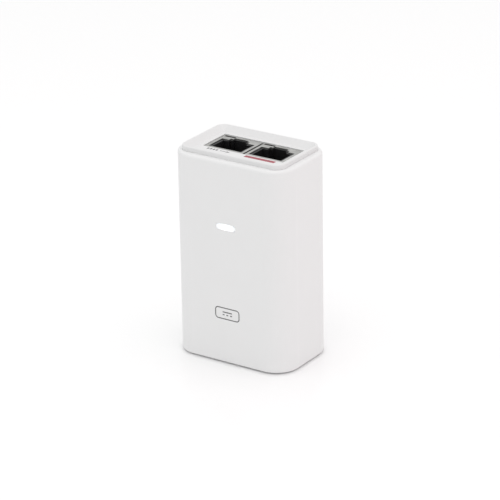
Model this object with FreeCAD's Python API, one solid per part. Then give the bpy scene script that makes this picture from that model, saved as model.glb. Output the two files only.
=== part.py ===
import FreeCAD, Part
import math
import os

# Power-over-Ethernet injector: a tall rounded box that stands on its base.
# Two network sockets look up out of a shallow tray in the top, a mains inlet looks down
# out of the base, one upright circuit board carries everything between them, and a wall
# bracket slides up into a dovetail channel in the back.
#
# Millimetres. +Z is up, the front face looks along -Y and +X is to the right of the front.
# The origin is the middle of the footprint, on the surface that the feet stand on.

V = FreeCAD.Vector

# ---- driving dimensions: casing ---------------------------------------------------------
WIDTH = 47.0            # across X
DEPTH = 31.8            # across Y
HEIGHT = 77.4           # feet to the top of the cap's lip
CORNER_R = 8.6          # vertical corners of the housing
WALL = 1.8              # housing side walls
RIM_THICK = 2.0         # housing top wall
RIM_ROUND = 1.1         # rounding of the housing's top edge
FOOT_PROUD = 0.7        # how far the feet lift the housing

# ---- cap --------------------------------------------------------------------------------
CAP_INSET = 2.5         # housing side face to the side of the cap
CAP_CORNER_R = 3.7
LIP_RISE = 1.8          # the lip stands this far above the housing's rim
LIP_WIDTH = 0.8         # flat top of the lip
LIP_SLOPE = 2.4         # inner side of the lip, measured flat
LIP_ROUND = 0.5
CAP_SKIN = 1.6          # wall thickness of the cap
CAP_GAP = 0.05          # cap in the housing's opening, each side
WINDOW_GAP = 0.35       # sockets in the cap's window, each side
FLANGE_THICK = 1.3      # flange that the cap seats with, under the rim

# ---- network sockets --------------------------------------------------------------------
JACK_WIDTH = 15.8
JACK_DEEP = 13.1        # across Y
JACK_LONG = 21.0        # along Z
JACK_PITCH = 16.5       # between the two sockets
JACK_PAIR_X = 0.55      # middle of the pair, right of the housing's middle
JACK_SUNK = 0.2         # shield faces below the tray floor
SHIELD_SHEET = 0.3
SHIELD_BEND = 0.25      # outer bend radius
SHIELD_GAP = 0.05       # insulator in its shield, each side
SHIELD_SLOT = (4.4, 1.0)    # spring slot behind the window, across X and Y
SHIELD_SLOT_IN = (0.5, 0.35) # from the can's left side and its back
PLUG_WIDE = 11.8        # cavity that takes the plug
PLUG_HIGH = 6.9
PLUG_LONG = 13.0
LATCH_STEPS = ((7.9, 1.3), (5.8, 1.1))     # width and height of each step of the latch notch
LATCH_LONG = 8.0
FACE_BORDER = 1.1       # metal left round the wide part of the shield's window
COMB_WALL = 0.75        # insulator showing between the shield's window and the cavity
COMB_DEEP = 0.7         # contact slots in the insulator
COMB_GAP = 0.1          # slot past a contact, each side
COMB_Z = (1.6, 12.0)    # slots start and end this far below the shield's face
NOTCH_GAP = 0.15        # latch notch in the insulator, narrower each side than in the shield
CONTACT_LEAN = 2.0
CONTACT_ROOT = 2.2      # below the shield's face
CONTACT_TIP = 10.5
CONTACT_COUNT = 8
CONTACT_PITCH = 1.02
CONTACT_WIDE = 0.4
CONTACT_THICK = 0.25

# ---- board ------------------------------------------------------------------------------
BOARD_THICK = 1.6
BOARD_SIDE_GAP = 1.2    # board edge to the cavity wall
BOARD_END_GAP = 0.5     # board to the cap above, and rails to the base cover below
BOARD_BASE_GAP = 0.1    # board above the base cover
BOARD_REAR_ROOM = 2.8   # behind the board, for the flat chips
BOARD_SLIDE_GAP = 0.12  # board in its rails, each face
RAIL_WIDE = 1.2
RAIL_BITE = 1.0         # overlap of rail and board edge
RAIL_CLEAR = 0.3        # tall parts clear of the rails

# ---- what the board carries: each middle as (x, z), then sizes ---------------------------
FUSE_AT = (-14.6, 12.5)
FUSE_R = 2.5
FUSE_LONG = 14.0
FUSE_LIFT = 0.7
FUSE_CAP_LONG = 3.0
FUSE_STEP = 0.2         # tube inside its end caps
VARISTOR_AT = (15.1, 11.0)
VARISTOR_R = 4.6
VARISTOR_THICK = 3.6
Y_CAPACITOR_AT = (10.8, 25.6)
Y_CAPACITOR_R = 3.4
Y_CAPACITOR_THICK = 3.0
DISC_LIFT = 1.2         # discs above the board
X_CAPACITOR_AT = (1.6, 25.4)
X_CAPACITOR_SIZE = (13.0, 6.2, 11.5)
CHOKE_AT = (-13.2, 27.4)
CHOKE_CORE_R = (5.0, 2.6)
CHOKE_CORE_THICK = 4.2
CHOKE_WIRE = 0.85       # thickness of the winding over the core
CHOKE_LIFT = 0.5
CHOKE_SPLIT = 2.6
WINDING_GAP = 0.05
BRIDGE_AT = (16.1, 25.6)
BRIDGE_SIZE = (5.0, 8.0, 2.5)
BRIDGE_LEG = (0.5, 1.0, 0.3)
BULK_CAN_Z = 39.0
BULK_CAN_PITCH = 8.4
BULK_CAN_R = 4.0
BULK_CAN_LONG = 17.5
OUTPUT_CAN_AT = ((8.6, 48.8), (15.8, 48.8))
OUTPUT_CAN_R = 3.15
OUTPUT_CAN_LONG = 11.0
CAN_GROOVE_AT = 1.8
CAN_GROOVE_OUT = 0.25   # middle of the groove's ring outside the can, and its radius
CAN_GROOVE_R = 0.5
TRANSFORMER_AT = (6.6, 37.2)
TRANSFORMER_LIFT = 2.0
CORE_SIZE = (15.6, 5.0, 13.0)
CORE_LEG = 4.4          # middle leg
CORE_YOKE = 2.2         # outer legs and yokes
BOBBIN_SIZE = (11.0, 12.6)
BOBBIN_WALL = 0.7
COIL_SHY = 0.3          # coil inside the bobbin's flanges
HEAT_SINK_THICK = 1.4
HEAT_SINK_TALL = 15.0
HEAT_SINK_Z = (31.5, 43.5)
HEAT_SINK_HOLE_R = 1.3
HEAT_SINK_HOLE_AT = 0.7 # share of the transistor's height
TRANSISTOR_SIZE = (2.6, 7.8, 9.0)
TRANSISTOR_LIFT = 4.0
LEG_PITCH = 2.3
LEG_SIZE = (0.6, 0.8)   # across X and Z
LEG_ROOT = 0.5          # run into the body
MAGNETICS_AT = (-11.5, 48.8)
MAGNETICS_SIZE = (15.0, 6.6, 5.6)
CONTROLLER_AT = (-6.0, 36.0)
CONTROLLER_SIZE = (4.9, 3.9, 1.6)
OPTOCOUPLER_AT = (4.0, 30.0)
OPTOCOUPLER_SIZE = (4.4, 6.2, 2.0)
OUTPUT_DIODE_AT = (12.0, 46.0)
OUTPUT_DIODE_SIZE = (6.6, 5.8, 2.1)
LED_SIZE = (3.6, 1.6, 0.8)
CHIP_ROUND = 0.15       # edge rounding: small packages, power packages, boxes, coils
PACKAGE_ROUND = 0.3
BOX_ROUND = 0.4
COIL_ROUND = 1.6
DISC_ROUND = 0.28       # share of a disc's thickness
CHIP_STAND = 0.1        # body above the board
CHIP_PIN = (0.4, 0.2, 0.9, 0.3)    # share of the pitch, root, reach and thickness
SHEET_THICK = 0.4

# ---- base -------------------------------------------------------------------------------
BASE_THICK = 3.0
BASE_GAP = 0.1          # base cover in the housing, each side
FOOT_R = 3.0
FOOT_SUNK = 0.5         # foot set into the base cover
FOOT_GAP = 0.12
FOOT_GLUE = 0.05        # glue over the foot
FOOT_ROUND = 0.25
FOOT_SIDE = 6.5         # middle of a foot from the housing's side
FOOT_END = 6.9          # and from its front or back
SCREW_R = 1.0
SCREW_LONG = 8.0
SCREW_HEAD_R = 1.9
SCREW_HEAD_HIGH = 1.0
SCREW_HEAD_ROUND = 0.3
SCREW_GAP = 0.1
THREAD_GAP = 0.05
CROSS_ARM = 1.1         # cross recess: reach, width and depth
CROSS_WIDE = 0.4
CROSS_DEEP = 0.5
POST_R = 2.6
POST_HIGH = 9.0
POST_RIB = 1.2
HOOK_X = 10.0           # snap arms of the base cover, from the middle
HOOK_WIDE = 5.0
HOOK_HIGH = 6.0
HOOK_THICK = 1.2
HOOK_CATCH = 0.6
HOOK_CATCH_HIGH = 2.0
HOOK_ROOT = 0.5         # arm and catch run into what carries them by this much

# ---- mains inlet ------------------------------------------------------------------------
INLET_WIDE = 20.4
INLET_DEEP = 16.4
INLET_HIGH = 18.0
INLET_CORNER_R = 1.0
INLET_GAP = 0.15        # inlet in the base cover, each side
INLET_SUNK = 0.4        # inlet face above the underside of the base cover
LINE_PIN_SPACING = 8.6
EARTH_PIN_OFFSET = 5.5
PIN_R = 1.2
PIN_LONG = 9.0
WELL_LOBE_R = 3.9
WELL_DEEP = 13.0
WELL_SHIFT = 0.5        # pin group ahead of the middle of the inlet
WELL_WEB = 2.4          # half width of the well between its lobes
TAG_WIDE = 1.2
TAG_THICK = 0.8
TAG_PROUD = 0.6         # solder tags and legs behind the board

# ---- indicator and printed marks --------------------------------------------------------
LENS_WIDE = 8.0
LENS_HIGH = 2.2
LENS_Z = 51.7
LENS_GAP = 0.08
PILL_FLAT = 0.001       # straight left in each round end, so that no edge vanishes
PIPE_WIDE = 5.0
LENS_COLLAR = 0.8       # collar behind the wall
PIPE_HIGH = 1.6
PIPE_ROUND = 0.4
INK_DEPTH = 0.08        # printed marks are set into the plastic by this much
BADGE_WIDE = 10.2
BADGE_HIGH = 4.5
BADGE_Z = 19.1
BADGE_R = 1.3
BADGE_LINE = 0.38
SYMBOL_WIDE = 3.9
SYMBOL_LINE = 0.42
SYMBOL_GAP = 0.6
MARK_AHEAD = 1.7        # marks on the tray floor, ahead of the sockets
POWER_MARK_WIDE = 12.4
POWER_MARK_HIGH = 1.7
POWER_MARK_SHIFT = -0.25    # from the middle of its socket
DATA_MARK_WIDE = 9.5
DATA_MARK_HIGH = 1.2
DATA_MARK_SHIFT = -0.75
DATA_BLOCKS = 4
DATA_BLOCK_WIDE = 0.8
DATA_BLOCK_PITCH = 1.2
ARROW_HEAD = 1.6
ARROW_STEM = 2.6
ARROW_GAP = 0.1         # between the arrow's stem and its head

# ---- wall bracket and its channel -------------------------------------------------------
CHANNEL_DEEP = 2.0
CHANNEL_MOUTH = 26.0    # width at the housing's back face
CHANNEL_UNDERCUT = 1.0  # the channel's floor is this much wider, each side
CHANNEL_TOP = 44.0
CHANNEL_WALL = 1.5      # wall behind the channel
BRACKET_HIGH = 34.0
BRACKET_GAP = 0.2       # bracket in its channel
BRACKET_HOLE_R = 1.8
BRACKET_HOLE_SPACING = 20.0
BRACKET_SINK_R = 3.4    # countersink on the housing side
BRACKET_SINK_DEEP = 1.2
GRIP_WIDE = 10.0        # thumb notch in the bracket's lower edge
GRIP_HIGH = 2.0
GRIP_DEEP = 0.5
HEAD_POCKET_DEEP = 0.6  # relief for a screw head in the channel's floor

# ---- rating label -----------------------------------------------------------------------
LABEL_WIDE = 28.0
LABEL_HIGH = 18.0
LABEL_Z = 58.0
LABEL_THICK = 0.12
LABEL_SEAT = 0.15       # depth of the label's seat
LABEL_GAP = 0.1
LABEL_R = 1.0

# ---- places worked out from the sizes above ---------------------------------------------
FRONT_Y = -DEPTH / 2
BACK_Y = DEPTH / 2
CASE_Z = FOOT_PROUD
RIM_Z = HEIGHT - LIP_RISE
FIELD_Z = RIM_Z                       # floor of the cap's tray
CAVITY_WIDE = WIDTH - 2 * WALL
CAVITY_DEEP = DEPTH - 2 * WALL
CAVITY_R = CORNER_R - WALL
CAVITY_TOP = RIM_Z - RIM_THICK
CAP_WIDE = WIDTH - 2 * CAP_INSET
CAP_DEEP = DEPTH - 2 * CAP_INSET
FLANGE_Z = CAVITY_TOP - CAP_GAP - FLANGE_THICK
JACK_TOP = FIELD_Z - JACK_SUNK
JACK_BASE = JACK_TOP - JACK_LONG
DATA_X = JACK_PAIR_X - JACK_PITCH / 2
POWER_X = JACK_PAIR_X + JACK_PITCH / 2
CHANNEL_FLOOR = BACK_Y - CHANNEL_DEEP
PAD_FRONT = CHANNEL_FLOOR - CHANNEL_WALL
PAD_HALF = CHANNEL_MOUTH / 2 + CHANNEL_UNDERCUT + CHANNEL_WALL
BOARD_REAR = PAD_FRONT - BOARD_REAR_ROOM
BOARD_FRONT = BOARD_REAR - BOARD_THICK
BOARD_WIDE = CAVITY_WIDE - 2 * BOARD_SIDE_GAP
BOARD_TOP = FLANGE_Z - BOARD_END_GAP
RAIL_X = BOARD_WIDE / 2 - RAIL_BITE
BULK_CAN_X = -(RAIL_X - RAIL_CLEAR - BULK_CAN_R)
HEAT_SINK_X = RAIL_X - RAIL_CLEAR - HEAT_SINK_THICK
JACK_FRONT_Y = BOARD_FRONT - JACK_DEEP
MARK_Y = JACK_FRONT_Y - MARK_AHEAD
FOOT_X = WIDTH / 2 - FOOT_SIDE
FOOT_Y = DEPTH / 2 - FOOT_END
BASE_TOP = CASE_Z + BASE_THICK
BOARD_BOTTOM = BASE_TOP + BOARD_BASE_GAP
ARM_BACK = PAD_FRONT - 2 * BASE_GAP
CATCH_Z = BASE_TOP + HOOK_HIGH - HOOK_CATCH_HIGH
INLET_Z = CASE_Z + INLET_SUNK
INLET_MID_Y = BOARD_FRONT - INLET_DEEP / 2
WELL_TOP = INLET_Z + WELL_DEEP
LINE_PIN_Y = INLET_MID_Y + EARTH_PIN_OFFSET / 2 - WELL_SHIFT
BRACKET_TOP = CHANNEL_TOP - BRACKET_GAP
BRACKET_Z = BRACKET_TOP - BRACKET_HIGH / 2


# ---- shape helpers ----------------------------------------------------------------------
def box(x0, x1, y0, y1, z0, z1):
    """Box between two corners."""
    return Part.makeBox(x1 - x0, y1 - y0, z1 - z0, V(x0, y0, z0))


def rod(radius, start, end):
    """Cylinder from one point to another."""
    run = end - start
    return Part.makeCylinder(radius, run.Length, start, run)


def rounded_outline(wide, deep, radius, z, mid_x=0.0, mid_y=0.0):
    """Closed wire: a rectangle with rounded corners, flat at height z."""
    x, y, r = wide / 2, deep / 2, radius
    c = r * (1 - math.sqrt(0.5))
    corners = ((x, -y, -1, 1), (x, y, -1, -1), (-x, y, 1, -1), (-x, -y, 1, 1))
    ends = []
    for index, (cx, cy, sx, sy) in enumerate(corners):
        along_y = V(cx, cy + sy * r, 0)
        along_x = V(cx + sx * r, cy, 0)
        middle = V(cx + sx * c, cy + sy * c, 0)
        first, last = (along_x, along_y) if index % 2 == 0 else (along_y, along_x)
        ends.append((first, middle, last))
    edges = []
    for index, (first, middle, last) in enumerate(ends):
        edges.append(Part.Arc(first, middle, last).toShape())
        following = ends[(index + 1) % 4][0]
        if (following - last).Length > 1e-6:
            edges.append(Part.LineSegment(last, following).toShape())
    wire = Part.Wire(edges)
    wire.translate(V(mid_x, mid_y, z))
    return wire


def rounded_block(wide, deep, radius, z0, z1, mid_x=0.0, mid_y=0.0):
    """Upright block with rounded vertical corners."""
    face = Part.Face(rounded_outline(wide, deep, radius, z0, mid_x, mid_y))
    return face.extrude(V(0, 0, z1 - z0))


def front_plate(wide, high, radius, y0, y1, mid_x, mid_z):
    """Rounded plate that faces along Y."""
    plate = rounded_block(wide, high, radius, 0, y1 - y0)
    plate.rotate(V(0, 0, 0), V(1, 0, 0), -90)
    plate.translate(V(mid_x, y0, mid_z))
    return plate


def prism_x(points, x0, x1):
    """Solid with an outline in Y and Z, from x0 to x1."""
    corners = [V(x0, y, z) for y, z in points]
    return Part.Face(Part.makePolygon(corners + corners[:1])).extrude(V(x1 - x0, 0, 0))


def prism_z(points, z0, z1):
    """Solid with an outline in X and Y, from z0 to z1."""
    corners = [V(x, y, z0) for x, y in points]
    return Part.Face(Part.makePolygon(corners + corners[:1])).extrude(V(0, 0, z1 - z0))


def joined(shapes):
    """One solid from shapes that meet or overlap."""
    return shapes[0].fuse(shapes[1:]).removeSplitter() if len(shapes) > 1 else shapes[0]


def upright_edges(shape):
    """Edges of a shape that run along Z."""
    found = []
    for edge in shape.Edges:
        start, end = edge.Vertexes[0].Point, edge.Vertexes[-1].Point
        if abs(start.x - end.x) < 1e-6 and abs(start.y - end.y) < 1e-6:
            found.append(edge)
    return found


def level_edges(shape, z):
    """Edges of a shape that lie at one height."""
    return [e for e in shape.Edges if max(abs(e.BoundBox.ZMin - z), abs(e.BoundBox.ZMax - z)) < 1e-6]


# ---- casing -----------------------------------------------------------------------------
def channel_outline(clearance):
    """Dovetail section in X and Y, narrowed on every side by a clearance."""
    mouth = CHANNEL_MOUTH / 2 - clearance
    floor = mouth + CHANNEL_UNDERCUT * (CHANNEL_DEEP - clearance) / CHANNEL_DEEP
    floor_y = CHANNEL_FLOOR + clearance
    return [(-floor, floor_y), (floor, floor_y), (mouth, BACK_Y), (-mouth, BACK_Y)]


def housing():
    """Sleeve with a closed back and sides, open at the base and under the cap."""
    shell = rounded_block(WIDTH, DEPTH, CORNER_R, CASE_Z, RIM_Z)
    shell = shell.makeFillet(RIM_ROUND, level_edges(shell, RIM_Z))
    shell = shell.cut(rounded_block(CAVITY_WIDE, CAVITY_DEEP, CAVITY_R, CASE_Z - 1, CAVITY_TOP))
    opening_r = CAP_CORNER_R + CAP_GAP
    opening = rounded_block(CAP_WIDE + 2 * CAP_GAP, CAP_DEEP + 2 * CAP_GAP, opening_r,
                            CAVITY_TOP - CAP_GAP, RIM_Z + 1)
    shell = shell.cut(opening)
    back_pad = box(-PAD_HALF, PAD_HALF, PAD_FRONT, BACK_Y - WALL / 2, CASE_Z, CHANNEL_TOP + CHANNEL_WALL)
    shell = joined([shell, back_pad] + board_rails() + screw_posts())
    channel = prism_z(channel_outline(0.0), CASE_Z - 1, CHANNEL_TOP)
    cuts = [channel, lens_hole(), badge_ink(), label_recess()]
    cuts += bracket_head_pockets()
    cuts += [rod(SCREW_R, V(x, -FOOT_Y, BASE_TOP - 1), V(x, -FOOT_Y, BASE_TOP + POST_HIGH - 1))
             for x in (-FOOT_X, FOOT_X)]
    cuts += [hook_pocket(x) for x in (-HOOK_X, HOOK_X)]
    for cutter in cuts:
        shell = shell.cut(cutter)
    return shell


def board_rails():
    """Two grooves in the side walls that the board slides up into."""
    rails = []
    low, high = BASE_TOP + BOARD_END_GAP, FLANGE_Z - BOARD_END_GAP
    for side in (-1, 1):
        for y in (BOARD_FRONT - BOARD_SLIDE_GAP - RAIL_WIDE, BOARD_REAR + BOARD_SLIDE_GAP):
            x0, x1 = sorted((side * RAIL_X, side * (WIDTH / 2 - WALL / 2)))
            rails.append(box(x0, x1, y, y + RAIL_WIDE, low, high))
    return rails


def screw_posts():
    """Posts in the front corners that the base screws bite into, each tied to the side wall."""
    posts = []
    for side in (-1, 1):
        x = side * FOOT_X
        posts.append(rod(POST_R, V(x, -FOOT_Y, BASE_TOP), V(x, -FOOT_Y, BASE_TOP + POST_HIGH)))
        x0, x1 = sorted((x, side * (WIDTH / 2 - WALL / 2)))
        half = POST_RIB / 2
        posts.append(box(x0, x1, -FOOT_Y - half, -FOOT_Y + half, BASE_TOP, BASE_TOP + POST_HIGH))
    return posts


def port_cap():
    """Cap: a raised lip round a shallow tray, with one window for both sockets."""
    block = rounded_block(CAP_WIDE, CAP_DEEP, CAP_CORNER_R, CAVITY_TOP, HEIGHT)
    block = block.makeFillet(LIP_ROUND, level_edges(block, HEIGHT))
    seat = (CAVITY_WIDE - 2 * CAP_GAP, CAVITY_DEEP - 2 * CAP_GAP, CAVITY_R - CAP_GAP)
    flange = rounded_block(*seat, FLANGE_Z, FLANGE_Z + FLANGE_THICK)
    neck = rounded_block(CAP_WIDE, CAP_DEEP, CAP_CORNER_R, FLANGE_Z, CAVITY_TOP)
    neck = neck.common(rounded_block(*seat, FLANGE_Z, CAVITY_TOP))
    top_inset = LIP_WIDTH
    low_inset = LIP_WIDTH + LIP_SLOPE
    over = 0.5
    slope = LIP_SLOPE / LIP_RISE
    tray = Part.makeLoft([
        rounded_outline(CAP_WIDE - 2 * low_inset, CAP_DEEP - 2 * low_inset, CAP_CORNER_R - low_inset,
                        FIELD_Z),
        rounded_outline(CAP_WIDE - 2 * top_inset + 2 * over * slope,
                        CAP_DEEP - 2 * top_inset + 2 * over * slope,
                        CAP_CORNER_R - top_inset + over * slope, HEIGHT + over)], True, True)
    hollow = rounded_block(CAP_WIDE - 2 * CAP_SKIN, CAP_DEEP - 2 * CAP_SKIN, CAP_CORNER_R - CAP_SKIN,
                           FLANGE_Z - 1, FIELD_Z - CAP_SKIN)
    half = JACK_PITCH / 2 + JACK_WIDTH / 2 + WINDOW_GAP
    window = box(JACK_PAIR_X - half, JACK_PAIR_X + half, JACK_FRONT_Y - WINDOW_GAP, BOARD_FRONT + WINDOW_GAP,
                 FLANGE_Z - 1, HEIGHT + 1)
    cap = joined([block, neck, flange])
    for cutter in [tray, hollow, window, power_mark_ink(), data_mark_ink()]:
        cap = cap.cut(cutter)
    return cap


def base_cover():
    """Floor of the box, with the inlet's opening, foot seats, screw holes and two snap arms."""
    plate = rounded_block(CAVITY_WIDE - 2 * BASE_GAP, CAVITY_DEEP - 2 * BASE_GAP, CAVITY_R - BASE_GAP,
                          CASE_Z, BASE_TOP)
    plate = plate.cut(box(-PAD_HALF - BASE_GAP, PAD_HALF + BASE_GAP, PAD_FRONT - BASE_GAP, BACK_Y,
                          CASE_Z - 1, BASE_TOP + 1))
    arms = []
    for x in (-HOOK_X, HOOK_X):
        arms.append(box(x - HOOK_WIDE / 2, x + HOOK_WIDE / 2, ARM_BACK - HOOK_THICK, ARM_BACK,
                        BASE_TOP - HOOK_ROOT, BASE_TOP + HOOK_HIGH))
        arms.append(hook_catch(x))
    cover = joined([plate] + arms)
    cuts = [rounded_block(INLET_WIDE + 2 * INLET_GAP, INLET_DEEP + 2 * INLET_GAP, INLET_CORNER_R + INLET_GAP,
                          CASE_Z - 1, BASE_TOP + 1, 0, INLET_MID_Y)]
    for x, y in foot_places():
        cuts.append(rod(FOOT_R + FOOT_GAP, V(x, y, CASE_Z - 1), V(x, y, CASE_Z + FOOT_SUNK)))
    for x in (-FOOT_X, FOOT_X):
        head_top = CASE_Z + FOOT_SUNK + SCREW_HEAD_HIGH + SCREW_GAP
        cuts.append(rod(SCREW_HEAD_R + SCREW_GAP, V(x, -FOOT_Y, CASE_Z), V(x, -FOOT_Y, head_top)))
        cuts.append(rod(SCREW_R + SCREW_GAP, V(x, -FOOT_Y, CASE_Z), V(x, -FOOT_Y, BASE_TOP + 1)))
    for cutter in cuts:
        cover = cover.cut(cutter)
    return cover


def hook_catch(x):
    """Sloped catch at the top of a snap arm."""
    top = BASE_TOP + HOOK_HIGH
    inside = ARM_BACK - HOOK_ROOT
    outline = [(inside, CATCH_Z), (ARM_BACK + HOOK_CATCH, CATCH_Z),
               (ARM_BACK + HOOK_CATCH, CATCH_Z + HOOK_CATCH_HIGH / 4), (ARM_BACK, top), (inside, top)]
    return prism_x(outline, x - HOOK_WIDE / 2, x + HOOK_WIDE / 2)


def hook_pocket(x):
    """Blind pocket in the housing that a catch springs into."""
    half = HOOK_WIDE / 2 + 2 * BASE_GAP
    return box(x - half, x + half, ARM_BACK, ARM_BACK + HOOK_CATCH + BASE_GAP,
               CATCH_Z - BASE_GAP, BASE_TOP + HOOK_HIGH + 2 * BASE_GAP)


def foot_places():
    """Middles of the four feet."""
    return [(x, y) for x in (-FOOT_X, FOOT_X) for y in (-FOOT_Y, FOOT_Y)]


def rubber_feet():
    """Four pads that stand proud of the base cover, with a rounded rim."""
    feet = []
    for x, y in foot_places():
        foot = rod(FOOT_R, V(x, y, 0), V(x, y, CASE_Z + FOOT_SUNK - FOOT_GLUE))
        feet.append(foot.makeFillet(FOOT_ROUND, level_edges(foot, 0)))
    return Part.Compound(feet)


def cover_screws():
    """Two pan-head screws, hidden under the front feet."""
    screws = []
    for x in (-FOOT_X, FOOT_X):
        z = CASE_Z + FOOT_SUNK
        head = rod(SCREW_HEAD_R, V(x, -FOOT_Y, z), V(x, -FOOT_Y, z + SCREW_HEAD_HIGH))
        head = head.makeFillet(SCREW_HEAD_ROUND, level_edges(head, z))
        shank = rod(SCREW_R - THREAD_GAP, V(x, -FOOT_Y, z + SCREW_HEAD_HIGH),
                    V(x, -FOOT_Y, z + SCREW_HEAD_HIGH + SCREW_LONG))
        arm, half = CROSS_ARM, CROSS_WIDE / 2
        slots = [box(x - arm, x + arm, -FOOT_Y - half, -FOOT_Y + half, z - 1, z + CROSS_DEEP),
                 box(x - half, x + half, -FOOT_Y - arm, -FOOT_Y + arm, z - 1, z + CROSS_DEEP)]
        screws.append(joined([head, shank]).cut(joined(slots)))
    return Part.Compound(screws)


def label_recess():
    """Shallow seat for the rating label, in the back face."""
    return front_plate(LABEL_WIDE + 2 * LABEL_GAP, LABEL_HIGH + 2 * LABEL_GAP, LABEL_R + LABEL_GAP,
                       BACK_Y - LABEL_SEAT, BACK_Y + 1, 0, LABEL_Z)


def rating_label():
    """Blank label on the back."""
    seat = BACK_Y - LABEL_SEAT
    return front_plate(LABEL_WIDE, LABEL_HIGH, LABEL_R, seat, seat + LABEL_THICK, 0, LABEL_Z)


# ---- bracket ----------------------------------------------------------------------------
def bracket_hole_heights():
    """Heights of the bracket's two screw holes."""
    return (BRACKET_Z - BRACKET_HOLE_SPACING / 2, BRACKET_Z + BRACKET_HOLE_SPACING / 2)


def bracket_head_pockets():
    """Reliefs in the channel's floor for the heads of the wall screws."""
    low, high = CHANNEL_FLOOR - HEAD_POCKET_DEEP, CHANNEL_FLOOR + BRACKET_GAP
    return [rod(BRACKET_SINK_R, V(0, low, z), V(0, high, z))
            for z in bracket_hole_heights()]


def wall_bracket():
    """Dovetail plate that screws to a wall and holds the injector by its channel."""
    bottom = BRACKET_TOP - BRACKET_HIGH
    plate = prism_z(channel_outline(BRACKET_GAP), bottom, BRACKET_TOP)
    inner = CHANNEL_FLOOR + BRACKET_GAP
    for z in bracket_hole_heights():
        plate = plate.cut(rod(BRACKET_HOLE_R, V(0, inner - 1, z), V(0, BACK_Y + 1, z)))
        sink = Part.makeCone(BRACKET_SINK_R, BRACKET_HOLE_R, BRACKET_SINK_DEEP, V(0, inner, z), V(0, 1, 0))
        plate = plate.cut(sink)
    grip = box(-GRIP_WIDE / 2, GRIP_WIDE / 2, BACK_Y - GRIP_DEEP, BACK_Y + 1, bottom - 1, bottom + GRIP_HIGH)
    return plate.cut(grip)


# ---- indicator and marks ----------------------------------------------------------------
def pill_plate(grow, y0, y1):
    """Pill-shaped plate at the indicator's place, grown on every side."""
    high = LENS_HIGH + 2 * grow
    return front_plate(LENS_WIDE + 2 * grow, high, high / 2 - PILL_FLAT, y0, y1, 0, LENS_Z)


def lens_hole():
    """Pill-shaped hole in the front wall."""
    return pill_plate(LENS_GAP, FRONT_Y - 1, FRONT_Y + WALL + 1)


def light_pipe():
    """Window flush with the front face, with a bar that brings the light from the board."""
    inside = FRONT_Y + WALL
    window = pill_plate(0, FRONT_Y, inside + LENS_COLLAR)
    collar = pill_plate(LENS_COLLAR, inside + LENS_GAP, inside + LENS_GAP + LENS_COLLAR)
    bar = front_plate(PIPE_WIDE, PIPE_HIGH, PIPE_ROUND, inside, BOARD_FRONT - LED_SIZE[2] - 2 * LENS_GAP,
                      0, LENS_Z)
    return joined([window, collar, bar])


def indicator_led():
    """Flat light source on the board, behind the light pipe."""
    wide, high, tall = LED_SIZE
    return seated_block(wide, high, tall, (0, LENS_Z), CHIP_ROUND)


def badge_frame(y0, y1):
    """Rounded outline of the voltage badge."""
    outer = front_plate(BADGE_WIDE, BADGE_HIGH, BADGE_R, y0, y1, 0, BADGE_Z)
    inner = front_plate(BADGE_WIDE - 2 * BADGE_LINE, BADGE_HIGH - 2 * BADGE_LINE, BADGE_R - BADGE_LINE,
                        y0 - 1, y1 + 1, 0, BADGE_Z)
    return outer.cut(inner)


def badge_symbol(y0, y1):
    """Direct-current symbol: a bar over three dashes."""
    low = BADGE_Z - SYMBOL_GAP / 2 - SYMBOL_LINE
    high = BADGE_Z + SYMBOL_GAP / 2
    half = SYMBOL_WIDE / 2
    dash = SYMBOL_WIDE / 5
    pieces = [box(-half, half, y0, y1, high, high + SYMBOL_LINE)]
    for start in (0, 2, 4):
        pieces.append(box(-half + start * dash, -half + (start + 1) * dash, y0, y1, low, low + SYMBOL_LINE))
    return pieces


def badge_ink():
    """All of the badge's ink, used for the ink itself and for its seat."""
    y0, y1 = FRONT_Y, FRONT_Y + INK_DEPTH
    return Part.Compound([badge_frame(y0, y1)] + badge_symbol(y0, y1))


def power_mark_ink():
    """Bar in front of the socket that carries power."""
    x = POWER_X + POWER_MARK_SHIFT
    return box(x - POWER_MARK_WIDE / 2, x + POWER_MARK_WIDE / 2, MARK_Y - POWER_MARK_HIGH / 2,
               MARK_Y + POWER_MARK_HIGH / 2, FIELD_Z - INK_DEPTH, FIELD_Z)


def data_mark_ink():
    """Row of blocks and an arrow in front of the socket that carries data only."""
    start = DATA_X + DATA_MARK_SHIFT - DATA_MARK_WIDE / 2
    half = DATA_MARK_HIGH / 2
    low, high = FIELD_Z - INK_DEPTH, FIELD_Z
    pieces = []
    for column in range(DATA_BLOCKS):
        x = start + column * DATA_BLOCK_PITCH
        pieces.append(box(x, x + DATA_BLOCK_WIDE, MARK_Y - half, MARK_Y + half, low, high))
    tip = start + DATA_MARK_WIDE
    neck = tip - ARROW_HEAD
    pieces.append(box(neck - ARROW_STEM, neck - ARROW_GAP, MARK_Y - half / 3, MARK_Y + half / 3, low, high))
    pieces.append(prism_z([(neck, MARK_Y - half), (tip, MARK_Y), (neck, MARK_Y + half)], low, high))
    return Part.Compound(pieces)


# ---- network sockets --------------------------------------------------------------------
def socket_outline(mid_x, wide, front_y, high, grow):
    """Outline of a socket window: the plug's width, then the steps of the latch notch."""
    half = wide / 2
    y = front_y + high
    right = [(mid_x + half, front_y), (mid_x + half, y)]
    for step_wide, step_high in LATCH_STEPS:
        right.append((mid_x + step_wide / 2 + grow, y))
        y += step_high
        right.append((mid_x + step_wide / 2 + grow, y))
    left = [(2 * mid_x - x, y) for x, y in reversed(right)]
    return right + left


def plug_front_y():
    """Front wall of the plug's cavity."""
    return JACK_FRONT_Y + FACE_BORDER + COMB_WALL


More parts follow.
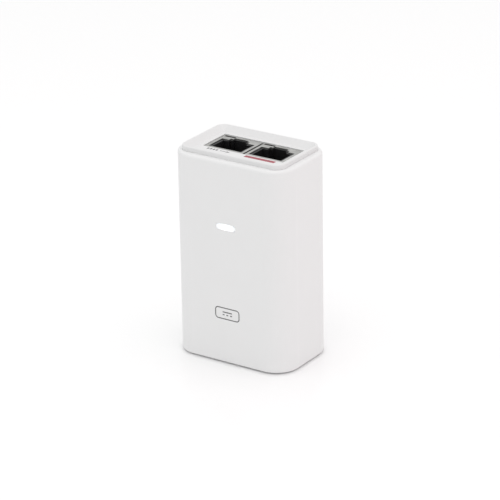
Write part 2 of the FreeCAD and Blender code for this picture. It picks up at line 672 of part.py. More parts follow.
def jack_shield(mid_x):
    """Stamped metal can round one socket, open at the foot."""
    x0, x1 = mid_x - JACK_WIDTH / 2, mid_x + JACK_WIDTH / 2
    can = box(x0, x1, JACK_FRONT_Y, BOARD_FRONT, JACK_BASE, JACK_TOP)
    can = can.makeFillet(SHIELD_BEND, upright_edges(can))
    t = SHIELD_SHEET
    can = can.cut(box(x0 + t, x1 - t, JACK_FRONT_Y + t, BOARD_FRONT - t, JACK_BASE - 1, JACK_TOP - t))
    window = socket_outline(mid_x, JACK_WIDTH - 2 * FACE_BORDER, JACK_FRONT_Y + FACE_BORDER,
                            PLUG_HIGH + 2 * COMB_WALL, 0.0)
    slot_x, slot_y = x0 + SHIELD_SLOT_IN[0], BOARD_FRONT - SHIELD_SLOT_IN[1]
    slot = box(slot_x, slot_x + SHIELD_SLOT[0], slot_y - SHIELD_SLOT[1], slot_y, JACK_TOP - t, JACK_TOP + 1)
    return can.cut(prism_z(window, JACK_TOP - 1, JACK_TOP + 1)).cut(slot)


def jack_body(mid_x):
    """Black moulding inside a shield, with the plug's cavity and the contact comb."""
    room = SHIELD_SHEET + SHIELD_GAP
    x0, x1 = mid_x - JACK_WIDTH / 2 + room, mid_x + JACK_WIDTH / 2 - room
    body = box(x0, x1, JACK_FRONT_Y + room, BOARD_FRONT - room, JACK_BASE, JACK_TOP - room)
    front = plug_front_y()
    cavity = box(mid_x - PLUG_WIDE / 2, mid_x + PLUG_WIDE / 2, front, front + PLUG_HIGH,
                 JACK_TOP - PLUG_LONG, JACK_TOP + 1)
    notch = prism_z(socket_outline(mid_x, PLUG_WIDE, front, PLUG_HIGH, -NOTCH_GAP), JACK_TOP - LATCH_LONG,
                    JACK_TOP + 1)
    body = body.cut(joined([cavity, notch]))
    half = CONTACT_WIDE / 2 + COMB_GAP
    for x in contact_places(mid_x):
        body = body.cut(box(x - half, x + half, front - COMB_DEEP, front + COMB_GAP, JACK_TOP - COMB_Z[1],
                            JACK_TOP - COMB_Z[0]))
    return body


def contact_places(mid_x):
    """Middles of the eight contacts across a socket."""
    first = mid_x - CONTACT_PITCH * (CONTACT_COUNT - 1) / 2
    return [first + CONTACT_PITCH * index for index in range(CONTACT_COUNT)]


def jack_contacts(mid_x):
    """Eight spring contacts that lean into the plug's cavity."""
    front = plug_front_y()
    root, tip = JACK_TOP - CONTACT_ROOT, JACK_TOP - CONTACT_TIP
    t = CONTACT_THICK
    inner = front + CONTACT_LEAN - t
    outline = [(front - 2 * t, root), (front - t, root + t), (front, root), (inner + t, tip + 2 * t),
               (inner, tip), (inner - t, tip), (inner - t, tip + 2 * t), (front - t, root - 2 * t),
               (front - t, tip), (front - 2 * t, tip)]
    springs = [prism_x(outline, x - CONTACT_WIDE / 2, x + CONTACT_WIDE / 2) for x in contact_places(mid_x)]
    return Part.Compound(springs)


# ---- mains inlet ------------------------------------------------------------------------
def pin_places():
    """Middles of the live, neutral and earth pins."""
    half = LINE_PIN_SPACING / 2
    return [(-half, LINE_PIN_Y), (half, LINE_PIN_Y), (0.0, LINE_PIN_Y - EARTH_PIN_OFFSET)]


def inlet_pins():
    """Three round pins, each bent back to a flat tag in the board."""
    pins = []
    half_wide, half_thick = TAG_WIDE / 2, TAG_THICK / 2
    tag_z = WELL_TOP + PIN_R
    for x, y in pin_places():
        pin = rod(PIN_R, V(x, y, WELL_TOP - PIN_LONG), V(x, y, tag_z + PIN_R))
        pin = pin.makeFillet(PIN_R / 2, level_edges(pin, WELL_TOP - PIN_LONG))
        tag = box(x - half_wide, x + half_wide, y, BOARD_REAR + TAG_PROUD,
                  tag_z - half_thick, tag_z + half_thick)
        pins.append(joined([pin, tag]))
    return Part.Compound(pins)


def inlet_well():
    """Three-lobed well that takes the cord's connector."""
    lobes = [rod(WELL_LOBE_R, V(x, y, INLET_Z - 1), V(x, y, WELL_TOP)) for x, y in pin_places()]
    (left, line_y), (right, _), (_, earth_y) = pin_places()
    web = WELL_WEB
    bridge = prism_z([(left, line_y + web), (right, line_y + web), (right, line_y - web), (web, earth_y),
                      (-web, earth_y), (left, line_y - web)], INLET_Z - 1, WELL_TOP)
    return joined(lobes + [bridge])


def inlet_body():
    """Moulded block of the mains inlet, soldered to the board and showing in the base."""
    block = rounded_block(INLET_WIDE, INLET_DEEP, INLET_CORNER_R, INLET_Z, INLET_Z + INLET_HIGH,
                          0, INLET_MID_Y)
    return block.cut(inlet_well()).cut(inlet_pins())


# ---- board and what it carries ----------------------------------------------------------
def main_board():
    """Upright circuit board, pierced by the inlet's tags and the transistor's legs."""
    half = BOARD_WIDE / 2
    board = box(-half, half, BOARD_FRONT, BOARD_REAR, BOARD_BOTTOM, BOARD_TOP)
    for leg in inlet_pins().Solids + transistor_legs():
        board = board.cut(leg)
    return board


def standing_can(radius, long, place):
    """Round capacitor standing on the board, with a rolled groove near its foot."""
    x, z = place
    can = rod(radius, V(x, BOARD_FRONT - long, z), V(x, BOARD_FRONT, z))
    middle = V(x, BOARD_FRONT - CAN_GROOVE_AT, z)
    return can.cut(Part.makeTorus(radius + CAN_GROOVE_OUT, CAN_GROOVE_R, middle, V(0, 1, 0)))


def seated_block(wide, high, tall, place, rounding):
    """Moulded component body on the front of the board."""
    x, z = place
    body = box(x - wide / 2, x + wide / 2, BOARD_FRONT - tall, BOARD_FRONT, z - high / 2, z + high / 2)
    return body.makeFillet(rounding, body.Edges)


def standing_disc(radius, thick, place):
    """Coated disc standing on edge above the board."""
    x, z = place
    y = BOARD_FRONT - DISC_LIFT - radius
    disc = rod(radius, V(x - thick / 2, y, z), V(x + thick / 2, y, z))
    return disc.makeFillet(thick * DISC_ROUND, disc.Edges)


def fuse_rod(grow, z0, z1):
    """Length of the fuse, grown in radius."""
    x = FUSE_AT[0]
    y = BOARD_FRONT - FUSE_LIFT - FUSE_R
    return rod(FUSE_R + grow, V(x, y, z0), V(x, y, z1))


def fuse():
    """Mains fuse along the board, with a wider cap at each end."""
    low, high = FUSE_AT[1] - FUSE_LONG / 2, FUSE_AT[1] + FUSE_LONG / 2
    return joined([fuse_rod(-FUSE_STEP, low, high), fuse_rod(0, low, low + FUSE_CAP_LONG),
                   fuse_rod(0, high - FUSE_CAP_LONG, high)])


def varistor():
    """Surge suppressor disc."""
    return standing_disc(VARISTOR_R, VARISTOR_THICK, VARISTOR_AT)


def y_capacitor():
    """Safety capacitor disc across the isolation gap."""
    return standing_disc(Y_CAPACITOR_R, Y_CAPACITOR_THICK, Y_CAPACITOR_AT)


def x_capacitor():
    """Box capacitor across the mains."""
    wide, high, tall = X_CAPACITOR_SIZE
    return seated_block(wide, high, tall, X_CAPACITOR_AT, BOX_ROUND)


def choke_ring(grow):
    """The choke's ring, grown on every face."""
    x, z = CHOKE_AT
    outer, inner = CHOKE_CORE_R
    near = BOARD_FRONT - CHOKE_LIFT - CHOKE_WIRE
    y0, y1 = near - CHOKE_CORE_THICK - grow, near + grow
    ring = rod(outer + grow, V(x, y0, z), V(x, y1, z))
    return ring.cut(rod(inner - grow, V(x, y0 - 1, z), V(x, y1 + 1, z)))


def choke_core():
    """Ferrite ring of the mains filter."""
    return choke_ring(0)


def choke_windings():
    """Two wire windings, one on each half of the ring."""
    x, z = CHOKE_AT
    reach = CHOKE_CORE_R[0] + 2 * CHOKE_WIRE
    sleeve = choke_ring(CHOKE_WIRE).cut(choke_ring(WINDING_GAP))
    split = box(x - CHOKE_SPLIT / 2, x + CHOKE_SPLIT / 2, BOARD_FRONT - 2 * reach, BOARD_FRONT,
                z - reach, z + reach)
    return Part.Compound(sleeve.cut(split).Solids)


def bridge_rectifier():
    """Flat bridge rectifier with four legs."""
    wide, high, tall = BRIDGE_SIZE
    reach, leg_high, leg_thick = BRIDGE_LEG
    x, z = BRIDGE_AT
    pieces = [seated_block(wide, high, tall, BRIDGE_AT, PACKAGE_ROUND)]
    for side in (-1, 1):
        for leg_z in (z - high / 4, z + high / 4):
            x0, x1 = sorted((x + side * wide / 4, x + side * (wide / 2 + reach)))
            pieces.append(box(x0, x1, BOARD_FRONT - leg_thick, BOARD_FRONT, leg_z - leg_high / 2,
                              leg_z + leg_high / 2))
    return joined(pieces)


def bulk_capacitors():
    """Two electrolytic cans that smooth the rectified mains."""
    places = [(BULK_CAN_X, BULK_CAN_Z), (BULK_CAN_X + BULK_CAN_PITCH, BULK_CAN_Z)]
    return Part.Compound([standing_can(BULK_CAN_R, BULK_CAN_LONG, place) for place in places])


def output_capacitors():
    """Two electrolytic cans on the low-voltage output."""
    return Part.Compound([standing_can(OUTPUT_CAN_R, OUTPUT_CAN_LONG, place) for place in OUTPUT_CAN_AT])


def core_depth():
    """Nearest and furthest faces of the transformer's core, along Y."""
    near = BOARD_FRONT - TRANSFORMER_LIFT
    return near - CORE_SIZE[2], near


def transformer_core():
    """Ferrite core: a closed frame with a middle leg."""
    x, z = TRANSFORMER_AT
    wide, high, _ = CORE_SIZE
    low, near = core_depth()
    frame = box(x - wide / 2, x + wide / 2, low, near, z - high / 2, z + high / 2)
    for side in (-1, 1):
        x0, x1 = sorted((x + side * CORE_LEG / 2, x + side * (wide / 2 - CORE_YOKE)))
        frame = frame.cut(box(x0, x1, low + CORE_YOKE, near - CORE_YOKE, z - high, z + high))
    return frame


def transformer_bobbin():
    """Bobbin with two flanges and two pin blocks that stand on the board."""
    x, z = TRANSFORMER_AT
    low, near = core_depth()
    low, high = low + CORE_YOKE + WINDING_GAP, near - CORE_YOKE - WINDING_GAP
    half_wide, half_high = BOBBIN_SIZE[0] / 2, BOBBIN_SIZE[1] / 2
    bore_x, bore_z = CORE_LEG / 2 + WINDING_GAP, CORE_SIZE[1] / 2 + WINDING_GAP
    wall = BOBBIN_WALL
    pieces = [box(x - bore_x - wall, x + bore_x + wall, low, high, z - bore_z - wall, z + bore_z + wall)]
    for y in (low, high - wall):
        pieces.append(box(x - half_wide, x + half_wide, y, y + wall, z - half_high, z + half_high))
    foot = half_high - bore_z - wall
    for z0 in (z - half_high, z + half_high - foot):
        pieces.append(box(x - half_wide, x + half_wide, high - wall, BOARD_FRONT, z0, z0 + foot))
    return joined(pieces).cut(box(x - bore_x, x + bore_x, low - 1, high + 1, z - bore_z, z + bore_z))


def transformer_winding():
    """Taped winding between the bobbin's flanges."""
    x, z = TRANSFORMER_AT
    low, near = core_depth()
    shy = BOBBIN_WALL + 2 * WINDING_GAP
    low, high = low + CORE_YOKE + shy, near - CORE_YOKE - shy
    half_wide, half_high = BOBBIN_SIZE[0] / 2 - COIL_SHY, BOBBIN_SIZE[1] / 2 - COIL_SHY
    coil = box(x - half_wide, x + half_wide, low, high, z - half_high, z + half_high)
    long_edges = [e for e in coil.Edges if abs(e.BoundBox.YLength - (high - low)) < 0.1]
    coil = coil.makeFillet(COIL_ROUND, long_edges)
    bore_x = CORE_LEG / 2 + BOBBIN_WALL + 2 * WINDING_GAP
    bore_z = CORE_SIZE[1] / 2 + BOBBIN_WALL + 2 * WINDING_GAP
    return coil.cut(box(x - bore_x, x + bore_x, low - 1, high + 1, z - bore_z, z + bore_z))


def heat_sink():
    """Aluminium plate beside the transformer, with the transistor's screw hole."""
    z0, z1 = HEAT_SINK_Z
    plate = box(HEAT_SINK_X, HEAT_SINK_X + HEAT_SINK_THICK, BOARD_FRONT - HEAT_SINK_TALL, BOARD_FRONT, z0, z1)
    plate = plate.makeFillet(HEAT_SINK_THICK / 4, plate.Edges)
    y = BOARD_FRONT - TRANSISTOR_LIFT - TRANSISTOR_SIZE[2] * HEAT_SINK_HOLE_AT
    z = (z0 + z1) / 2
    return plate.cut(rod(HEAT_SINK_HOLE_R, V(HEAT_SINK_X - 1, y, z),
                         V(HEAT_SINK_X + HEAT_SINK_THICK + 1, y, z)))


def transistor_legs():
    """Three legs through the board."""
    x1 = HEAT_SINK_X - WINDING_GAP - TRANSISTOR_SIZE[0] / 2
    middle = sum(HEAT_SINK_Z) / 2
    wide, high = LEG_SIZE[0] / 2, LEG_SIZE[1] / 2
    root = BOARD_FRONT - TRANSISTOR_LIFT - LEG_ROOT
    return [box(x1 - wide, x1 + wide, root, BOARD_REAR + TAG_PROUD, z - high, z + high)
            for z in (middle - LEG_PITCH, middle, middle + LEG_PITCH)]


def switch_transistor():
    """Power switch clamped to the heat sink, on three legs."""
    thick, high, tall = TRANSISTOR_SIZE
    x1 = HEAT_SINK_X - WINDING_GAP
    near = BOARD_FRONT - TRANSISTOR_LIFT
    middle = sum(HEAT_SINK_Z) / 2
    body = box(x1 - thick, x1, near - tall, near, middle - high / 2, middle + high / 2)
    return joined([body.makeFillet(PACKAGE_ROUND, body.Edges)] + transistor_legs())


def small_chip(size, place, pins, on_back):
    """Chip with flat pins along its two long sides."""
    wide, high, tall = size
    x, z = place
    side = 1 if on_back else -1
    seat = BOARD_REAR if on_back else BOARD_FRONT
    y0, y1 = sorted((seat + side * CHIP_STAND, seat + side * tall))
    body = box(x - wide / 2, x + wide / 2, y0, y1, z - high / 2, z + high / 2)
    pieces = [body.makeFillet(CHIP_ROUND, body.Edges)]
    share, root, reach, thick = CHIP_PIN
    per_side = pins // 2
    pitch = wide / per_side
    for index in range(per_side):
        pin_x = x - wide / 2 + pitch * (index + 0.5)
        for end in (-1, 1):
            z0, z1 = sorted((z + end * (high / 2 - root), z + end * (high / 2 + reach)))
            y0, y1 = sorted((seat, seat + side * thick))
            pieces.append(box(pin_x - pitch * share / 2, pin_x + pitch * share / 2, y0, y1, z0, z1))
    return joined(pieces)


def controller_chip():
    """Supply controller on the back of the board."""
    return small_chip(CONTROLLER_SIZE, CONTROLLER_AT, 8, True)


def optocoupler():
    """Isolated feedback on the back of the board."""
    return small_chip(OPTOCOUPLER_SIZE, OPTOCOUPLER_AT, 4, True)


def output_diode():
    """Output rectifier on the back of the board."""
    return small_chip(OUTPUT_DIODE_SIZE, OUTPUT_DIODE_AT, 2, True)


def data_magnetics():
    """Isolation module between the two sockets' data pairs."""
    return small_chip(MAGNETICS_SIZE, MAGNETICS_AT, 24, False)


def insulation_sheet():
    """Insulating sheet between the mains side and the front wall."""
    y = FRONT_Y + WALL + WINDING_GAP
    half = CAVITY_WIDE / 2 - CAVITY_R
    return box(-half, half, y, y + SHEET_THICK, BASE_TOP + SHEET_THICK, LENS_Z - LENS_HIGH)


# ---- write every sub-part ---------------------------------------------------------------
def sub_parts():
    """Name and shape of every sub-part."""
    parts = {
        "housing": housing(),
        "port_cap": port_cap(),
        "base_cover": base_cover(),
        "rubber_feet": rubber_feet(),
        "cover_screws": cover_screws(),
        "rating_label": rating_label(),
        "wall_bracket": wall_bracket(),
        "light_pipe": light_pipe(),
        "indicator_led": indicator_led(),
        "voltage_badge": badge_ink(),
        "power_port_mark": power_mark_ink(),
        "data_port_mark": data_mark_ink(),
        "inlet_body": inlet_body(),
        "inlet_pins": inlet_pins(),
        "main_board": main_board(),
        "fuse": fuse(),
        "varistor": varistor(),
        "x_capacitor": x_capacitor(),
        "y_capacitor": y_capacitor(),
        "choke_core": choke_core(),
        "choke_windings": choke_windings(),
        "bridge_rectifier": bridge_rectifier(),
        "bulk_capacitors": bulk_capacitors(),
        "transformer_core": transformer_core(),
        "transformer_bobbin": transformer_bobbin(),
        "transformer_winding": transformer_winding(),
        "heat_sink": heat_sink(),
        "switch_transistor": switch_transistor(),
        "controller_chip": controller_chip(),
        "optocoupler": optocoupler(),
        "output_diode": output_diode(),
        "output_capacitors": output_capacitors(),
        "data_magnetics": data_magnetics(),
        "insulation_sheet": insulation_sheet(),
    }
    for side, mid_x in (("data", DATA_X), ("power", POWER_X)):
        parts["jack_shield_" + side] = jack_shield(mid_x)
        parts["jack_body_" + side] = jack_body(mid_x)
        parts["jack_contacts_" + side] = jack_contacts(mid_x)
    return parts


def main():
    """Write one STEP file per sub-part."""
    os.makedirs("parts", exist_ok=True)
    for name, shape in sub_parts().items():
        shape.exportStep("parts/" + name + ".step")
        state = "ok" if shape.isValid() and shape.Volume > 0 else "BAD"
        print(name, len(shape.Solids), round(shape.Volume, 2), state)


main()
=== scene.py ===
import logging
import math
from dataclasses import dataclass, field
from enum import Enum

import bpy
from mathutils import Matrix, Vector

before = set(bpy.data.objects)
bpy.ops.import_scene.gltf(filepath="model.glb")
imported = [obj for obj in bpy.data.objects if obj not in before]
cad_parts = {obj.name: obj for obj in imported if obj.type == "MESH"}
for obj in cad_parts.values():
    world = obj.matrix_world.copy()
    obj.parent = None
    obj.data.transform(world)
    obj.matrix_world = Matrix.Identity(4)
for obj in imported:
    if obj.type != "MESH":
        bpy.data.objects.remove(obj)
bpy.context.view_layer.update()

log = logging.getLogger("injector")
logging.basicConfig(level=logging.INFO, format="%(name)s: %(message)s")

MM = 0.001               # one millimetre, in metres
Socket = bpy.types.NodeSocket
Triple = tuple[float, float, float]

CLOUD_DETAIL = 2.0       # finer layers in the slow drift of colour
FINE_DETAIL = 4.0        # finer layers in the grain
CLOUD_LOW, CLOUD_HIGH = 0.3, 0.7    # cloud values between which the colour drifts
LEAST_ROUGHNESS = 0.02
LENS_SCATTER = 0.2       # share of light that the milky lens scatters inside itself
LENS_BRIGHT_FROM = 0.6   # the lens glows fully from here to its middle, 0 at its edge
LENS_MIDDLE = (0.0, -15.9 * MM, 51.7 * MM)      # middle of the window in the front face
LENS_GLOW_HALF = (4.6 * MM, 6.0 * MM, 1.9 * MM)


class Grain(Enum):
    """Surface texture left by a tool or a process."""

    POLISHED = "polished"
    SATIN = "satin"
    SPARKED = "sparked"
    ROLLED = "rolled"
    CAST = "cast"


@dataclass(frozen=True)
class GrainSize:
    """How a grain shows: pattern size and height in metres, and its spread of roughness."""

    scale: float
    height: float
    spread: float


GRAINS: dict[Grain, GrainSize] = {
    Grain.POLISHED: GrainSize(0.9 * MM, 0.002 * MM, 0.03),
    Grain.SATIN: GrainSize(0.35 * MM, 0.006 * MM, 0.05),
    Grain.SPARKED: GrainSize(0.22 * MM, 0.014 * MM, 0.07),
    Grain.ROLLED: GrainSize(0.5 * MM, 0.008 * MM, 0.10),
    Grain.CAST: GrainSize(0.3 * MM, 0.03 * MM, 0.12),
}


class Sheet:
    """A material's node tree, with one short method for each kind of node that the finishes use."""

    def __init__(self, name: str) -> None:
        """Starts a material whose principled shader is ready to be set."""
        self.material = bpy.data.materials.new(name)
        self.material.use_nodes = True
        self.nodes = self.material.node_tree.nodes
        self.links = self.material.node_tree.links
        self.shader = self.nodes["Principled BSDF"]
        self.place = self.nodes.new("ShaderNodeTexCoord").outputs["Object"]

    def set(self, socket: str, value: float | tuple[float, ...]) -> None:
        """Sets a constant on the shader's own socket."""
        self.shader.inputs[socket].default_value = value

    def link(self, source: Socket, socket: str) -> None:
        """Joins a node's output to one of the shader's sockets."""
        self.links.new(source, self.shader.inputs[socket])

    def stretched(self, stretch: Triple) -> Socket:
        """Object coordinates scaled along each axis.

        Args:
            stretch: The scale along X, Y and Z.

        Returns:
            The scaled coordinates.
        """
        node = self.nodes.new("ShaderNodeMapping")
        node.inputs["Scale"].default_value = stretch
        self.links.new(self.place, node.inputs["Vector"])
        return node.outputs["Vector"]

    def noise(self, size: float, detail: float = 3.0, where: Socket | None = None) -> Socket:
        """Cloudy noise.

        Args:
            size: Width of one cloud, in metres.
            detail: How many finer layers it holds.
            where: Coordinates to use instead of plain object coordinates.

        Returns:
            The noise's factor, about 0 to 1.
        """
        node = self.nodes.new("ShaderNodeTexNoise")
        node.inputs["Scale"].default_value = 1.0 / size
        node.inputs["Detail"].default_value = detail
        self.links.new(where or self.place, node.inputs["Vector"])
        return node.outputs["Fac"]

    def spread(self, source: Socket, low: float, high: float) -> Socket:
        """A 0 to 1 value moved to another range.

        Args:
            source: The value.
            low: What 0 becomes.
            high: What 1 becomes.

        Returns:
            The moved value.
        """
        node = self.nodes.new("ShaderNodeMapRange")
        node.inputs["To Min"].default_value = low
        node.inputs["To Max"].default_value = high
        self.links.new(source, node.inputs["Value"])
        return node.outputs["Result"]

    def ramp(self, source: Socket, stops: list[tuple[float, Triple]]) -> Socket:
        """Colours picked along a 0 to 1 value.

        Args:
            source: The value that picks the colour.
            stops: Places from 0 to 1, each with its colour.

        Returns:
            The colour.
        """
        node = self.nodes.new("ShaderNodeValToRGB")
        ladder = node.color_ramp.elements
        while len(ladder) < len(stops):
            ladder.new(0.5)
        for element, (at, colour) in zip(ladder, stops):
            element.position = at
            element.color = (*colour, 1.0)
        self.links.new(source, node.inputs["Fac"])
        return node.outputs["Color"]

    def bump(self, source: Socket, height: float, below: Socket | None = None) -> Socket:
        """A normal that follows a height map.

        Args:
            source: Height, 0 to 1.
            height: What 1 stands for, in metres.
            below: A normal that this one is laid over.

        Returns:
            The bent normal.
        """
        node = self.nodes.new("ShaderNodeBump")
        node.inputs["Distance"].default_value = height
        self.links.new(source, node.inputs["Height"])
        if below is not None:
            self.links.new(below, node.inputs["Normal"])
        return node.outputs["Normal"]

    def dome(self, middle: Triple, half: Triple) -> Socket:
        """A value that falls from 1 at a middle point to 0 at a set distance along each axis.

        Args:
            middle: The point, in object coordinates.
            half: The distance along each axis at which the value reaches 0.

        Returns:
            The value.
        """
        centred = self.nodes.new("ShaderNodeMapping")
        centred.vector_type = "TEXTURE"
        centred.inputs["Location"].default_value = middle
        centred.inputs["Scale"].default_value = half
        self.links.new(self.place, centred.inputs["Vector"])
        node = self.nodes.new("ShaderNodeTexGradient")
        node.gradient_type = "SPHERICAL"
        self.links.new(centred.outputs["Vector"], node.inputs["Vector"])
        return node.outputs["Fac"]


def shade(colour: Triple, by: float) -> Triple:
    """A colour made darker or lighter by a factor, kept under 1."""
    return tuple(min(1.0, channel * by) for channel in colour)


@dataclass(frozen=True)
class Finish:
    """A moulded, printed or coated surface.

    Colour drifts a little over cloud_size, the grain gives the fine bump, and roughness varies with it.
    """

    name: str
    colour: Triple
    roughness: float = 0.4
    metallic: float = 0.0
    grain: Grain = Grain.SATIN
    drift: float = 0.03
    cloud_size: float = 12.0 * MM
    coat: float = 0.0
    specular: float = 0.5
    stretch: Triple = (1.0, 1.0, 1.0)

    def sheet(self) -> Sheet:
        """The node tree with this finish's colour, roughness and bump."""
        made = Sheet(self.name)
        grain = GRAINS[self.grain]
        where = made.stretched(self.stretch)
        cloud = made.noise(self.cloud_size, CLOUD_DETAIL, where)
        made.link(made.ramp(cloud, [(CLOUD_LOW, shade(self.colour, 1.0 - self.drift)),
                                    (CLOUD_HIGH, shade(self.colour, 1.0 + self.drift))]), "Base Color")
        fine = made.noise(grain.scale, FINE_DETAIL, where)
        low, high = self.roughness - grain.spread, self.roughness + grain.spread
        made.link(made.spread(fine, max(LEAST_ROUGHNESS, low), high), "Roughness")
        made.link(made.bump(fine, grain.height), "Normal")
        made.set("Metallic", self.metallic)
        made.set("Coat Weight", self.coat)
        made.set("Specular IOR Level", self.specular)
        return made

    def material(self) -> bpy.types.Material:
        """The finished material, made once for each finish."""
        found = bpy.data.materials.get(self.name)
        return found or self.sheet().material


@dataclass(frozen=True)
class LitFinish(Finish):
    """A milky light pipe that glows, brightest along its middle and fading towards its edge."""

    glow: float = 1.0
    glow_middle: Triple = (0.0, 0.0, 0.0)
    glow_half: Triple = (1.0, 1.0, 1.0)
    edge_glow: float = 0.02

    def sheet(self) -> Sheet:
        """The plain finish with light added."""
        made = super().sheet()
        edge = (self.edge_glow, self.edge_glow, self.edge_glow)
        dome = made.dome(self.glow_middle, self.glow_half)
        made.link(made.ramp(dome, [(0.0, edge), (LENS_BRIGHT_FROM, (1.0, 1.0, 1.0))]), "Emission Color")
        made.set("Emission Strength", self.glow)
        made.set("Subsurface Weight", LENS_SCATTER)
        return made


WHITE_CASE = Finish("white_case_plastic", (0.815, 0.815, 0.815), 0.42, grain=Grain.SPARKED, drift=0.004)
WHITE_CAP = Finish("white_cap_plastic", (0.76, 0.76, 0.76), 0.36, grain=Grain.SATIN, drift=0.004)
WHITE_BRACKET = Finish("white_bracket_plastic", (0.76, 0.76, 0.76), 0.45, grain=Grain.SPARKED, drift=0.006)
SHIELD = Finish("tinned_shield_sheet", (0.47, 0.47, 0.455), 0.34, metallic=1.0, grain=Grain.ROLLED,
                drift=0.16, cloud_size=3.0 * MM, stretch=(1.0, 1.0, 0.2))
SOCKET_BLACK = Finish("socket_black_moulding", (0.012, 0.012, 0.013), 0.38, drift=0.2, grain=Grain.SATIN)
GOLD = Finish("contact_gold_plate", (0.83, 0.58, 0.22), 0.22, metallic=1.0, grain=Grain.POLISHED, drift=0.05)
RUBBER = Finish("foot_rubber", (0.30, 0.30, 0.31), 0.75, grain=Grain.CAST, drift=0.10, cloud_size=2.0 * MM)
ZINC = Finish("screw_zinc_plate", (0.62, 0.63, 0.66), 0.28, metallic=1.0, grain=Grain.ROLLED, drift=0.08)
LABEL = Finish("label_film", (0.66, 0.67, 0.69), 0.35, metallic=0.35, grain=Grain.POLISHED, drift=0.04)
LENS = LitFinish("milky_lens", (0.95, 0.95, 0.95), 0.22, grain=Grain.POLISHED, drift=0.01, glow=0.55,
                 glow_middle=LENS_MIDDLE, glow_half=LENS_GLOW_HALF)
INK_GREY = Finish("badge_grey_ink", (0.10, 0.10, 0.105), 0.5, drift=0.15, cloud_size=1.5 * MM)
INK_RED = Finish("power_red_ink", (0.36, 0.075, 0.095), 0.45, drift=0.12, cloud_size=1.5 * MM)
INK_PALE = Finish("data_grey_ink", (0.20, 0.20, 0.21), 0.5, drift=0.12, cloud_size=1.5 * MM)
INLET_BLACK = Finish("inlet_black_moulding", (0.020, 0.020, 0.021), 0.45, grain=Grain.SPARKED, drift=0.2)
PIN_NICKEL = Finish("pin_nickel_plate", (0.70, 0.68, 0.62), 0.20, metallic=1.0, grain=Grain.POLISHED)
BOARD = Finish("board_green_mask", (0.02, 0.17, 0.07), 0.35, grain=Grain.CAST, drift=0.25,
               cloud_size=4.0 * MM, coat=0.3)
FUSE = Finish("fuse_ceramic", (0.78, 0.75, 0.66), 0.4, drift=0.06)
DISC_BLUE = Finish("disc_blue_coating", (0.03, 0.12, 0.42), 0.30, grain=Grain.CAST, drift=0.15, coat=0.4)
FILM_BOX = Finish("film_capacitor_case", (0.70, 0.50, 0.05), 0.42, drift=0.06)
FERRITE = Finish("ferrite", (0.045, 0.045, 0.05), 0.55, grain=Grain.CAST, drift=0.2, cloud_size=3.0 * MM)
COPPER = Finish("enamelled_copper", (0.60, 0.22, 0.07), 0.25, metallic=1.0, grain=Grain.POLISHED, coat=0.5)
CHIP = Finish("chip_moulding", (0.022, 0.022, 0.024), 0.55, grain=Grain.SPARKED, drift=0.2)
CAN = Finish("can_sleeve", (0.07, 0.08, 0.12), 0.32, grain=Grain.SATIN, drift=0.1)
TAPE = Finish("winding_tape", (0.78, 0.58, 0.06), 0.28, drift=0.08, cloud_size=3.0 * MM, coat=0.3)
SINK = Finish("heat_sink_sheet", (0.70, 0.71, 0.73), 0.35, metallic=1.0, grain=Grain.ROLLED, drift=0.06)
SHEET_FILM = Finish("insulating_sheet", (0.62, 0.55, 0.38), 0.6, grain=Grain.CAST, drift=0.08)
LED = Finish("light_source_package", (0.92, 0.88, 0.55), 0.3, drift=0.04)
PALE_FLOOR = Finish("pale_floor", (1.0, 1.0, 1.0), 0.22, grain=Grain.POLISHED, drift=0.0, specular=1.0)


def dress(node: str, finish: Finish) -> bpy.types.Object:
    """Gives a carried-over CAD node a finish.

    Args:
        node: The CAD node's name.
        finish: What its surface is.

    Returns:
        The node's object.
    """
    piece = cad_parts[node]
    piece.data.materials.clear()
    piece.data.materials.append(finish.material())
    log.info("dressed %s in %s", node, finish.name)
    return piece


@dataclass
class Casing:
    """The white outside: sleeve, cap, base, feet, hidden screws and label."""

    finishes: dict[str, Finish] = field(default_factory=lambda: {
        "housing": WHITE_CASE, "port_cap": WHITE_CAP, "base_cover": WHITE_CASE, "rubber_feet": RUBBER,
        "cover_screws": ZINC, "rating_label": LABEL})

    def build(self) -> None:
        """Dresses every casing node."""
        for node, finish in self.finishes.items():
            dress(node, finish)


@dataclass
class Indicator:
    """The lit window in the front and its light source."""

    def build(self) -> None:
        """Dresses the light pipe and its source."""
        dress("light_pipe", LENS)
        dress("indicator_led", LED)


@dataclass
class PrintedMarks:
    """The badge on the front and the two marks in the tray."""

    def build(self) -> None:
        """Dresses each print in its ink."""
        dress("voltage_badge", INK_GREY)
        dress("power_port_mark", INK_RED)
        dress("data_port_mark", INK_PALE)


@dataclass
class NetworkSocket:
    """One shielded network socket."""

    side: str

    def build(self) -> None:
        """Dresses the can, the moulding and the contacts."""
        dress("jack_shield_" + self.side, SHIELD)
        dress("jack_body_" + self.side, SOCKET_BLACK)
        dress("jack_contacts_" + self.side, GOLD)


@dataclass
class MainsInlet:
    """The appliance inlet in the base."""

    def build(self) -> None:
        """Dresses the moulding and its pins."""
        dress("inlet_body", INLET_BLACK)
        dress("inlet_pins", PIN_NICKEL)


@dataclass
class PowerBoard:
    """The upright board and everything soldered to it."""

    finishes: dict[str, Finish] = field(default_factory=lambda: {
        "main_board": BOARD, "fuse": FUSE, "varistor": DISC_BLUE, "x_capacitor": FILM_BOX,
        "y_capacitor": DISC_BLUE, "choke_core": FERRITE, "choke_windings": COPPER, "bridge_rectifier": CHIP,
        "bulk_capacitors": CAN, "output_capacitors": CAN, "transformer_core": FERRITE,
        "transformer_bobbin": CHIP, "transformer_winding": TAPE, "heat_sink": SINK, "switch_transistor": CHIP,
        "controller_chip": CHIP, "optocoupler": CHIP, "output_diode": CHIP, "data_magnetics": CHIP,
        "insulation_sheet": SHEET_FILM})

    def build(self) -> None:
        """Dresses every board node."""
        for node, finish in self.finishes.items():
            dress(node, finish)


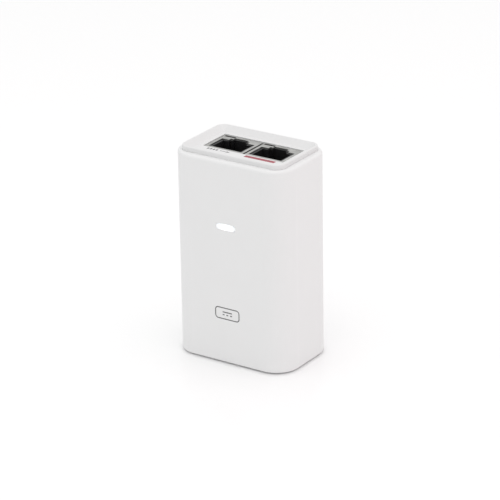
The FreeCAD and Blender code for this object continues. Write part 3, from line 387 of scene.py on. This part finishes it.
@dataclass
class WallBracket:
    """The dovetail plate in the back."""

    def build(self) -> None:
        """Dresses the plate."""
        dress("wall_bracket", WHITE_BRACKET)


@dataclass(frozen=True)
class Softbox:
    """A square area light: its name, place, width in metres, strength in watts and colour."""

    name: str
    place: Triple
    side: float
    power: float
    colour: Triple

    def build(self, aim: Vector) -> None:
        """Hangs the light, facing a point.

        Args:
            aim: The point that it faces.
        """
        data = bpy.data.lights.new(self.name, "AREA")
        data.size = self.side
        data.energy = self.power
        data.color = self.colour
        lamp = bpy.data.objects.new(self.name, data)
        lamp.location = self.place
        lamp.rotation_euler = (aim - Vector(self.place)).to_track_quat("-Z", "Y").to_euler()
        bpy.context.scene.collection.objects.link(lamp)


@dataclass
class Studio:
    """Pale floor, soft light all round and the camera."""

    azimuth: float = 33.81
    elevation: float = 22.31
    roll: float = -0.955
    distance: float = 0.976
    focal_share: float = 5.560          # focal length over the frame's width
    aim_height: float = 38.25 * MM
    aim_right: float = -0.534 * MM      # how far the aim passes the middle at that height
    aim_up: float = -0.440 * MM
    floor_half: float = 3.0
    world_strength: float = 0.9
    light_aim_height: float = 0.04
    sensor_width: float = 36.0          # millimetres, as the camera states it
    nearest: float = 0.01
    farthest: float = 20.0
    lights: tuple[Softbox, ...] = (
        Softbox("overhead_softbox", (0.05, -0.15, 0.9), 0.9, 1.6, (1.0, 1.0, 1.0)),
        Softbox("right_softbox", (0.8, 0.15, 0.45), 0.6, 0.50, (1.0, 0.60, 0.65)))

    def build(self) -> None:
        """Makes the floor, the lights, the surroundings and the camera."""
        self.floor()
        self.surroundings()
        for light in self.lights:
            light.build(Vector((0, 0, self.light_aim_height)))
        self.camera()

    def floor(self) -> None:
        """White sheet that mirrors the object's foot softly."""
        mesh = bpy.data.meshes.new("floor")
        half = self.floor_half
        corners = [(-half, -half, 0), (half, -half, 0), (half, half, 0), (-half, half, 0)]
        mesh.from_pydata(corners, [], [(0, 1, 2, 3)])
        floor = bpy.data.objects.new("floor", mesh)
        bpy.context.scene.collection.objects.link(floor)
        mesh.materials.append(PALE_FLOOR.material())

    def surroundings(self) -> None:
        """Even white surroundings."""
        world = bpy.data.worlds.new("studio")
        world.use_nodes = True
        background = world.node_tree.nodes["Background"]
        background.inputs["Color"].default_value = (1.0, 1.0, 1.0, 1.0)
        background.inputs["Strength"].default_value = self.world_strength
        bpy.context.scene.world = world
        bpy.context.scene.view_settings.view_transform = "Standard"

    def camera(self) -> None:
        """Camera aimed at the middle of the object, with the small offset and roll of the framing."""
        az, el, roll = (math.radians(a) for a in (self.azimuth, self.elevation, self.roll))
        back = Vector((math.sin(az) * math.cos(el), -math.cos(az) * math.cos(el), math.sin(el)))
        right = Vector((0, 0, 1)).cross(back).normalized()
        up = back.cross(right)
        rolled_right = right * math.cos(roll) + up * math.sin(roll)
        rolled_up = up * math.cos(roll) - right * math.sin(roll)
        data = bpy.data.cameras.new("camera")
        data.sensor_width = self.sensor_width
        data.lens = data.sensor_width * self.focal_share
        data.clip_start, data.clip_end = self.nearest, self.farthest
        lens = bpy.data.objects.new("camera", data)
        middle = Vector((0, 0, self.aim_height))
        axes = Matrix((rolled_right, rolled_up, back)).transposed().to_4x4()
        place = middle + back * self.distance + rolled_right * self.aim_right + rolled_up * self.aim_up
        lens.matrix_world = Matrix.Translation(place) @ axes
        bpy.context.scene.collection.objects.link(lens)
        bpy.context.scene.camera = lens


def main() -> None:
    """Builds every sub-assembly in order, then the studio."""
    for part in (Casing(), Indicator(), PrintedMarks(), NetworkSocket("data"), NetworkSocket("power"),
                 MainsInlet(), PowerBoard(), WallBracket(), Studio()):
        part.build()
        log.info("built %s", type(part).__name__)


if __name__ == "__main__":
    main()
